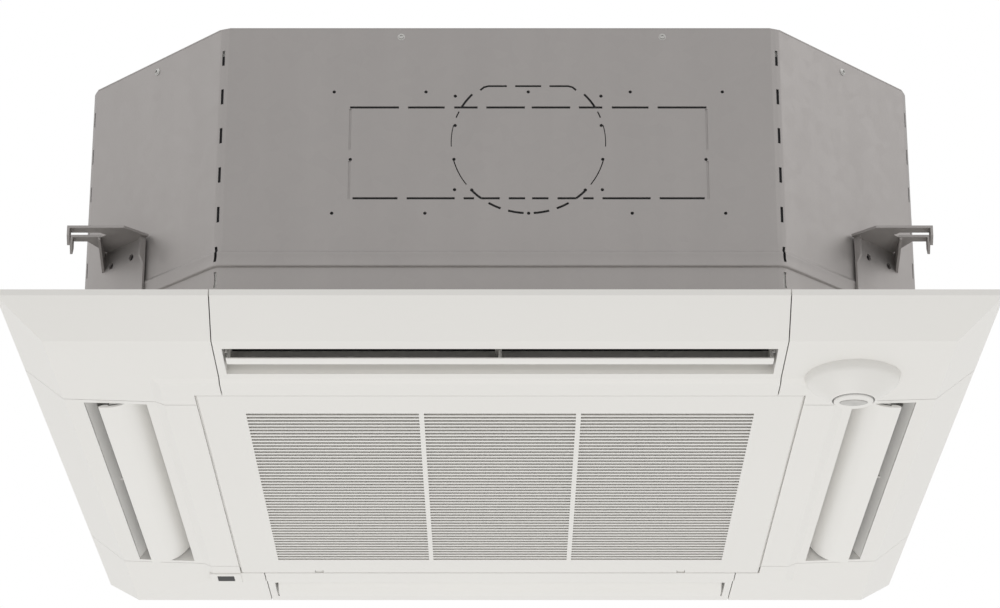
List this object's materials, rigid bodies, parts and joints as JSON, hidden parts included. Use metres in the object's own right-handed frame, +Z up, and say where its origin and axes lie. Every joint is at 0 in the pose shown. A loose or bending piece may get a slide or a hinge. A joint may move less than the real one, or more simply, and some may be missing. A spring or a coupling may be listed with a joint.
{
  "type": "ceiling cassette air conditioner",
  "caption": "Four-way ceiling cassette: square panel with four air vanes, hinged intake grille and presence sensor under an octagonal steel casing with fan, coil and drain.",
  "frame": {"origin": "centre of the ceiling plane, at the top face of the panel's rim", "axes": "+Z up into the ceiling, -Y towards the side with the fresh air knock-outs, +X to the right seen from that side"},
  "size_m": [0.95, 0.95, 0.3715],
  "materials": {
    "white_panel": "satin off-white moulded plastic",
    "grille_white": "satin off-white moulded plastic",
    "vane_white": "satin off-white moulded plastic",
    "grey_plastic": "matt grey plastic",
    "dark_window": "glossy dark plastic window",
    "lens": "frosted grey lens",
    "galvanised": "dull galvanised sheet",
    "steel": "plated steel",
    "copper": "drawn copper pipe",
    "brass": "turned brass",
    "fins": "aluminium fins",
    "foam": "dark closed-cell foam",
    "white_foam": "white bead foam",
    "net": "woven filter net",
    "board": "printed circuit board"
  },
  "bodies": {
    "root": {"panel_frame": "white_panel", "corner_cover_far_right": "white_panel", "corner_cover_far_left": "white_panel", "corner_cover_near_left": "white_panel", "corner_cover_near_right": "white_panel", "receiver_window": "dark_window", "sensor_dome": "white_panel", "grille_hinge_pin_left": "steel", "grille_hinge_pin_right": "steel", "vane_motor_back": "grey_plastic", "vane_motor_left": "grey_plastic", "vane_motor_front": "grey_plastic", "vane_motor_right": "grey_plastic", "vane_bush_back": "grey_plastic", "vane_bush_left": "grey_plastic", "vane_bush_front": "grey_plastic", "vane_bush_right": "grey_plastic", "shell_front": "galvanised", "shell_back": "galvanised", "top_plate": "galvanised", "insulation_liner": "foam", "top_foam": "white_foam", "hanger_bracket_far_right": "galvanised", "hanger_bracket_far_left": "galvanised", "hanger_bracket_near_left": "galvanised", "hanger_bracket_near_right": "galvanised", "drain_pan": "white_foam", "panel_gasket": "foam", "bell_mouth": "grey_plastic", "fan_motor": "grey_plastic", "heat_exchanger": "fins", "coil_end_plate_back": "steel", "coil_end_plate_left": "steel", "gas_pipe": "copper", "liquid_pipe": "copper", "gas_flare_nut": "brass", "liquid_flare_nut": "brass", "pipe_plate": "galvanised", "drain_socket": "white_panel", "drain_pump": "white_panel", "drain_hose": "foam", "float_stem": "white_panel", "control_box": "galvanised", "control_box_cover": "galvanised", "control_board": "board"},
    "grille": {"intake_grille": "grille_white", "air_filter": "net"},
    "catch_left": {"grille_catch_left": "grille_white"},
    "catch_right": {"grille_catch_right": "grille_white"},
    "sensor": {"sensor_head": "white_panel", "sensor_lens": "lens"},
    "fan": {"turbo_fan": "grey_plastic", "fan_shaft": "steel", "fan_nut": "steel"},
    "float": {"float": "grey_plastic"},
    "vane_back": {"air_vane_back": "vane_white"},
    "vane_left": {"air_vane_left": "vane_white"},
    "vane_front": {"air_vane_front": "vane_white"},
    "vane_right": {"air_vane_right": "vane_white"}
  },
  "joints": [
    {"name": "vane_back_tilt", "type": "hinge", "parent": "root", "child": "vane_back", "pos_m": [0, 0.38, -0.025], "axis": [-1, 0, 0], "range_deg": [-8, 50]},
    {"name": "vane_left_tilt", "type": "hinge", "parent": "root", "child": "vane_left", "pos_m": [-0.38, 0, -0.025], "axis": [0, -1, 0], "range_deg": [-8, 50]},
    {"name": "vane_front_tilt", "type": "hinge", "parent": "root", "child": "vane_front", "pos_m": [0, -0.38, -0.025], "axis": [1, 0, 0], "range_deg": [-8, 50]},
    {"name": "vane_right_tilt", "type": "hinge", "parent": "root", "child": "vane_right", "pos_m": [0.38, 0, -0.025], "axis": [0, 1, 0], "range_deg": [-8, 50]},
    {"name": "grille_open", "type": "hinge", "parent": "root", "child": "grille", "pos_m": [0, 0.2964, -0.039], "axis": [1, 0, 0], "range_deg": [0, 85]},
    {"name": "catch_left_slide", "type": "slide", "parent": "grille", "child": "catch_left", "axis": [0, 1, 0], "range_m": [0, 0.005], "stiffness_N_per_m": 400},
    {"name": "catch_right_slide", "type": "slide", "parent": "grille", "child": "catch_right", "axis": [0, 1, 0], "range_m": [0, 0.005], "stiffness_N_per_m": 400},
    {"name": "sensor_turn", "type": "hinge", "parent": "root", "child": "sensor", "pos_m": [0.344, -0.344, -0.06], "axis": [0, 0, 1], "range_deg": [-175, 175]},
    {"name": "fan_spin", "type": "hinge", "parent": "root", "child": "fan", "pos_m": [0, 0, 0.1], "axis": [0, 0, 1], "continuous": true},
    {"name": "float_rise", "type": "slide", "parent": "root", "child": "float", "axis": [0, 0, 1], "range_m": [0, 0.008]}
  ]
}
